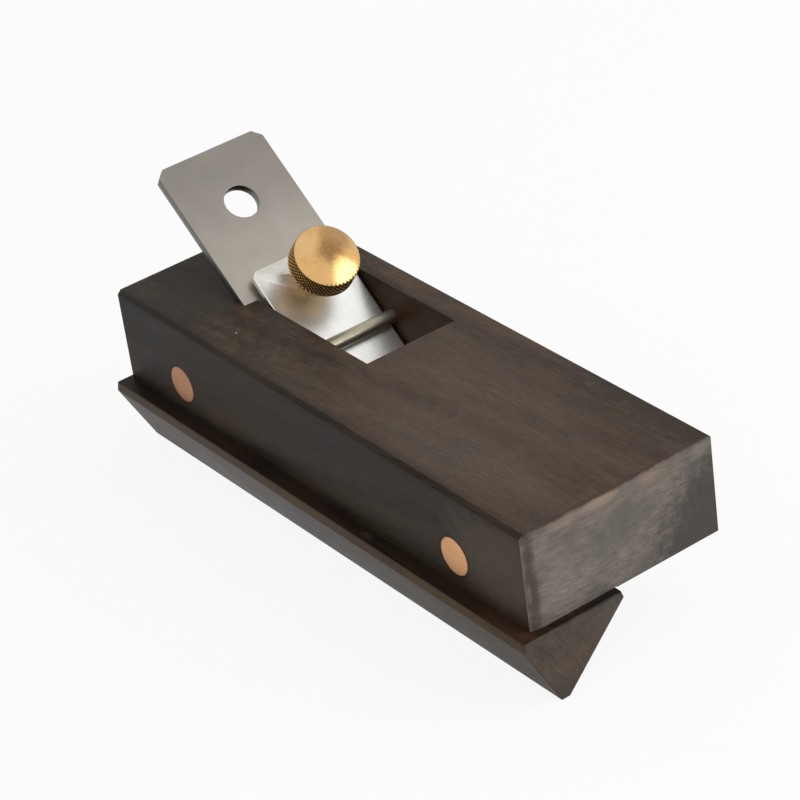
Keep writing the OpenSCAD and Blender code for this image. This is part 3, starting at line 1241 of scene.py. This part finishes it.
@dataclass
class ThumbScrew:
    """The thumb screw: its threaded shank and its knurled knob.

    Attributes:
        shank_body: The body that the shank rides on.
        knob_body: The body that the knob rides on.
        shank_radius: Outer radius of the thread.
        pitch: Pitch of the thread.
        thread_depth: Depth of the thread.
        tip_radius: Radius of the rounded tip.
        tip_height: Height of the tip's taper.
        neck_radius: Radius of the knob's neck.
        neck_height: Height of the neck.
        head_radius: Radius of the knurled head.
        head_height: Height of the head up to its rim.
        crown: Rise of the rounded top above the rim.
        centre_mark: Radius of the lathe's centre mark.
        chamfer: Chamfer round the rim.
        bore_radius: Radius of the bore that takes the shank.
        bore_depth: Depth of that bore.
        teeth: Knurls round the head.
        knurl_depth: Depth of the knurling.
        knurl_rows: Rows of mesh along the knurled band.
        origin: Place of the knob's joint in metres.
        axis: The screw's axis, from its tip to its knob.
    """

    shank_body: str = "screw_shank"
    knob_body: str = "thumb_knob"
    shank_radius: float = 2.5
    pitch: float = 0.8
    thread_depth: float = 0.42
    tip_radius: float = 1.25
    tip_height: float = 0.6
    neck_radius: float = 6.0
    neck_height: float = 4.3
    head_radius: float = 8.0
    head_height: float = 4.9
    crown: float = 2.5
    centre_mark: float = 0.55
    chamfer: float = 0.2
    bore_radius: float = 2.55
    bore_depth: float = 7.05
    teeth: int = 48
    knurl_depth: float = 0.36
    knurl_rows: int = 28
    origin: Vector = field(
        default_factory=lambda: Vector(row_named(frame["joints"], "knob_turn")["pos_m"])
    )
    axis: Vector = field(
        default_factory=lambda: Vector(row_named(frame["joints"], "knob_turn")["axis"]).normalized()
    )

    def build(self) -> None:
        """Makes both pieces."""
        low = self._span("knurled_knob")[0]
        tip, top = self._span("screw_shank")
        self._knob(low)
        self._shank(tip, top)

    def _span(self, node: str) -> Pair:
        """Measures a node along the screw's axis.

        Args:
            node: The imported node.

        Returns:
            Its lowest and highest place along the axis from the joint's place.
        """
        corners = frame["nodes"][node].data.vertices
        along = [(corner.co - self.origin).dot(self.axis) / MM for corner in corners]
        return min(along), max(along)

    def _metal(
        self, name: str, tarnished: Pair, shine: float, patches: tuple[Patch, ...] = ()
    ) -> Material:
        """Mixes the brass of one piece.

        Args:
            name: The finish's name.
            tarnished: Radii between which tarnish is thick on walls.
            shine: Its roughness.
            patches: Places with another tone.

        Returns:
            The material.
        """
        return TurnedMetal(
            name=name,
            tone=(0.72, 0.44, 0.17),
            deep_tone=(0.07, 0.026, 0.003),
            point=tuple(self.origin / MM),
            axis=tuple(self.axis),
            tarnished=tarnished,
            shine=shine,
            patches=patches,
        ).material()

    def _on_top(self, down: float, across: float) -> Triple:
        """Finds a place on the knob's top.

        Args:
            down: How far from the axis it lies down the slope of the lever cap.
            across: How far it lies towards the far side.

        Returns:
            The place.
        """
        height = self._span("knurled_knob")[1] - self.crown / 2
        slope = Vector((0, 1, 0)).cross(self.axis)
        place = self.origin / MM + self.axis * height + slope * down + Vector((0, 1, 0)) * across
        return tuple(place)

    def _knob(self, low: float) -> None:
        """Makes the knurled knob.

        Args:
            low: Where the foot of the neck is along the axis.
        """
        rim, neck, chamfer, fillet = self.head_radius, self.neck_radius, self.chamfer, 0.5
        head = low + self.neck_height
        top = head + self.head_height
        bottom, upper = head + chamfer, top - chamfer
        profile = [(0, low + self.bore_depth), (self.bore_radius, low + self.bore_depth)]
        profile += [(self.bore_radius, low), (neck - chamfer, low)]
        profile += [(neck, low + chamfer), (neck, head - fillet)]
        profile += [(neck + 0.3 * fillet, head - 0.3 * fillet), (neck + fillet, head)]
        profile += [(rim - chamfer, head), (rim - 0.2 * chamfer, head + 0.45 * chamfer)]
        step = (upper - bottom) / self.knurl_rows
        profile += [(rim, bottom + step * i) for i in range(self.knurl_rows + 1)]
        profile += [(rim - 0.2 * chamfer, top - 0.45 * chamfer), (rim - chamfer, top)]
        run = rim - chamfer
        for share in (0.97, 0.9, 0.8, 0.7, 0.6, 0.5, 0.4, 0.3, 0.2, 0.13):
            profile.append((run * share, top + self.crown * (1 - share**1.5)))
        apex, mark = top + self.crown * 0.985, self.centre_mark
        profile += [(mark, apex), (mark - 0.12, apex - 0.07), (0, apex - 0.05)]
        shape = Workshop.turned(profile, self.teeth * 8)
        self._knurl(shape, bottom, upper)
        Workshop.crease(shape, 50)
        bmesh.ops.transform(shape, matrix=axis_frame(self.origin, self.axis), verts=shape.verts[:])
        # Painted reflection on the knob's top: darker middle and far side, lighter near side.
        patches = (
            Patch(self._on_top(-3.6, 4.2), (5, 5, 5), (0.36, 0.2, 0.085), 0.75),
            Patch(self._on_top(-0.3, 0.3), (4.2, 4.2, 4.2), (0.31, 0.165, 0.06), 0.9),
            Patch(self._on_top(-4.4, -3.6), (4.2, 4.2, 4.2), (0.72, 0.47, 0.23), 0.6),
        )
        finish = self._metal("knob_brass", (rim - 0.9, rim - 0.06), 0.24, patches)
        made = Workshop.piece("knob", shape, finish)
        carried(made, "knurled_knob", self.knob_body)

    def _knurl(self, shape: Shape, bottom: float, upper: float) -> None:
        """Rolls a diamond knurl into the head's edge. It runs out over the rim.

        Args:
            shape: The turned knob.
            bottom: Lower end of the knurled band.
            upper: Upper end of the full depth.
        """
        rise = math.tau * self.head_radius / self.teeth * 1.15
        slack = 1e-3
        for vert in shape.verts:
            radius = math.hypot(vert.co.x, vert.co.y) / MM
            height = vert.co.z / MM
            if radius < self.head_radius - self.chamfer - slack or height < bottom - slack:
                continue
            round_way = math.atan2(vert.co.y, vert.co.x) / math.tau * self.teeth
            along = (height - bottom) / rise
            left = abs(2 * ((round_way + along) % 1.0) - 1)
            right = abs(2 * ((round_way - along) % 1.0) - 1)
            depth = self.knurl_depth * (0.5 if height > upper + slack else 1.0)
            sunk = depth * (1 - min(left, right))
            vert.co.xy *= (self.head_radius - sunk) / self.head_radius

    def _shank(self, tip: float, top: float) -> None:
        """Makes the threaded shank.

        Args:
            tip: Where its tip is along the axis.
            top: Where its upper end is.
        """
        core = self.shank_radius - self.thread_depth
        start, steps = tip + self.tip_height, 40
        turns = math.ceil((top - tip) / self.pitch) + 2
        shape = bmesh.new()
        foot = start - self.pitch
        flank = [(core, 0.0), (self.shank_radius, 0.42), (self.shank_radius, 0.58), (core, 1.0)]
        outline = [(r * MM, 0, (foot + share * self.pitch) * MM) for r, share in flank]
        points = [shape.verts.new(place) for place in outline]
        line = [shape.edges.new(pair) for pair in zip(points, points[1:])]
        bmesh.ops.spin(
            shape,
            geom=points + line,
            cent=(0, 0, 0),
            axis=(0, 0, 1),
            dvec=(0, 0, self.pitch * MM / steps),
            angle=math.tau * turns,
            steps=steps * turns,
            use_merge=False,
            use_duplicate=False,
        )
        bmesh.ops.remove_doubles(shape, verts=shape.verts[:], dist=MERGE_WITHIN)
        for height, side in ((start, -1), (top, 1)):
            bmesh.ops.bisect_plane(
                shape,
                geom=shape.verts[:] + shape.edges[:] + shape.faces[:],
                plane_co=(0, 0, height * MM),
                plane_no=(0, 0, side),
                clear_outer=True,
            )
        open_edges = [e for e in shape.edges if e.is_boundary]
        bmesh.ops.holes_fill(shape, edges=open_edges, sides=0)
        bmesh.ops.recalc_face_normals(shape, faces=shape.faces[:])
        blunt = [(0, tip), (self.tip_radius - 0.2, tip), (self.tip_radius, tip + 0.12)]
        root = [(core, start), (core, start + 0.6), (0, start + 0.6)]
        cone = Workshop.turned(blunt + root, 64)
        spare = bpy.data.meshes.new("tip")
        cone.to_mesh(spare)
        cone.free()
        shape.from_mesh(spare)
        bpy.data.meshes.remove(spare)
        for face in shape.faces:
            face.smooth = len(face.verts) <= 4
        Workshop.crease(shape, 30)
        bmesh.ops.transform(shape, matrix=axis_frame(self.origin, self.axis), verts=shape.verts[:])
        tarnished = (self.shank_radius - 0.6, self.shank_radius - 0.05)
        finish = self._metal("shank_brass", tarnished, 0.3)
        made = Workshop.piece("threaded_shank", shape, finish)
        carried(made, "screw_shank", self.shank_body)


# ---------------------------------------------------------------- studio


@dataclass(frozen=True)
class SoftLight:
    """One soft light that points at the plane.

    Attributes:
        name: The light's name.
        way: Its direction from the plane.
        distance: Its distance in metres.
        width: Its width in metres.
        height: Its height in metres.
        level: Its brightness, where 1 is the white of the surroundings.
        mirrored: Whether bright metal shows it.
    """

    name: str
    way: Triple
    distance: float
    width: float
    height: float
    level: float
    mirrored: bool = True

    def hang(self) -> None:
        """Puts the light in the scene."""
        data = bpy.data.lights.new(self.name, "AREA")
        data.shape = "RECTANGLE"
        data.size = self.width
        data.size_y = self.height
        data.energy = self.level * WATTS_FOR_WHITE * self.width * self.height
        lamp = bpy.data.objects.new(self.name, data)
        lamp.visible_glossy = self.mirrored
        bpy.context.scene.collection.objects.link(lamp)
        way = Vector(self.way).normalized()
        lamp.location = way * self.distance
        lamp.rotation_euler = way.to_track_quat("Z", "Y").to_euler()


@dataclass
class Studio:
    """The pale floor, the soft lights and the camera at the photograph's angle.

    Attributes:
        floor_size: Width of the floor in metres.
        floor_glow: How much of the floor's white the camera and the metal see at once.
        surround: How bright the surroundings are as light on the plane, where 1 is white.
        lights: The soft lights.
        camera_place: Where the camera stands.
        camera_right: The camera's own right.
        camera_down: The camera's own down.
        camera_ahead: The way it looks.
        lens: Focal length of the camera's lens.
        sensor: Width of its sensor.
        floor_gap: How far under the lowest edge the floor lies, in metres.
    """

    floor_size: float = 8.0
    floor_glow: float = 0.9
    surround: float = 0.5
    lights: tuple[SoftLight, ...] = (
        SoftLight("side_light", (0.735, 0.6, 0.315), 1.0, 0.85, 0.34, 3.0),
        SoftLight("top_light", (0.35, 0.45, 0.82), 1.0, 1.0, 1.0, 0.95, False),
    )
    camera_place: Triple = (0.5100488, -0.3314494, 0.3808053)
    camera_right: Triple = (0.6000463, 0.7908073, -0.1206993)
    camera_down: Triple = (0.3527221, -0.3969669, -0.8473514)
    camera_ahead: Triple = (-0.7180053, 0.4658767, -0.5171338)
    lens: float = 144.179
    sensor: float = 36.0
    floor_gap: float = 0.00005

    def build(self) -> None:
        """Sets up floor, world, lights and camera."""
        self._floor()
        self._world()
        for light in self.lights:
            light.hang()
        self._camera()
        bpy.context.scene.view_settings.view_transform = "Standard"
        LOG.info("studio ready")

    @staticmethod
    def _white_rays(tree: Tree) -> Value:
        """Finds the rays that show the background as plain white.

        Args:
            tree: The node tree of the floor or the world.

        Returns:
            A number that is 1 on those rays.
        """
        path = tree.node("ShaderNodeLightPath")
        kinds = ("Camera", "Glossy", "Transmission")
        camera, glossy, through = (Value(tree, path.outputs[f"Is {kind} Ray"]) for kind in kinds)
        return camera.either(glossy).either(through)

    def _floor(self) -> None:
        """Lays the floor under the rail."""
        shape = bmesh.new()
        bmesh.ops.create_grid(shape, x_segments=8, y_segments=8, size=self.floor_size / 2)
        height = CAD_BOX[0].z - self.floor_gap
        bmesh.ops.translate(shape, vec=(0, 0, height), verts=shape.verts[:])
        material = bpy.data.materials.new("pale_floor")
        material.use_nodes = True
        tree = Tree(material.node_tree)
        matt = tree.node("ShaderNodeBsdfDiffuse", None, {"Color": PALE})
        glow = tree.node("ShaderNodeEmission", None, {"Color": WHITE})
        share = self._white_rays(tree) * self.floor_glow
        sockets = {0: share, 1: matt.outputs[0], 2: glow.outputs[0]}
        blend = tree.node("ShaderNodeMixShader", None, sockets)
        tree.node("ShaderNodeOutputMaterial", None, {"Surface": blend.outputs[0]})
        Workshop.piece("floor", shape, material)

    def _world(self) -> None:
        """Makes the plain surroundings."""
        world = bpy.data.worlds.new("plain_white")
        bpy.context.scene.world = world
        world.use_nodes = True
        tree = Tree(world.node_tree)
        soft, plain = (
            tree.node("ShaderNodeBackground", None, {"Color": WHITE, "Strength": strength})
            for strength in (self.surround, 1.0)
        )
        sockets = {0: self._white_rays(tree), 1: soft.outputs[0], 2: plain.outputs[0]}
        blend = tree.node("ShaderNodeMixShader", None, sockets)
        tree.node("ShaderNodeOutputWorld", None, {"Surface": blend.outputs[0]})

    def _camera(self) -> None:
        """Sets the camera where the photograph was taken from."""
        data = bpy.data.cameras.new("photograph")
        data.lens = self.lens
        data.sensor_width = self.sensor
        data.clip_start, data.clip_end = 0.05, 50.0
        camera = bpy.data.objects.new("photograph", data)
        bpy.context.scene.collection.objects.link(camera)
        ways = (self.camera_right, self.camera_down, self.camera_ahead)
        right, down, ahead = (Vector(way) for way in ways)
        turn = Matrix((right, -down, -ahead)).transposed().to_4x4()
        camera.matrix_world = Matrix.Translation(Vector(self.camera_place)) @ turn
        bpy.context.scene.camera = camera


def main() -> None:
    """Builds the plane's sub-assemblies in order, then the studio."""
    logging.basicConfig(level=logging.INFO, format="%(name)s: %(message)s")
    for part in (Stock(), Metalwork(), Cutter(), Clamp(), ThumbScrew(), Studio()):
        part.build()


if __name__ == "__main__":
    main()
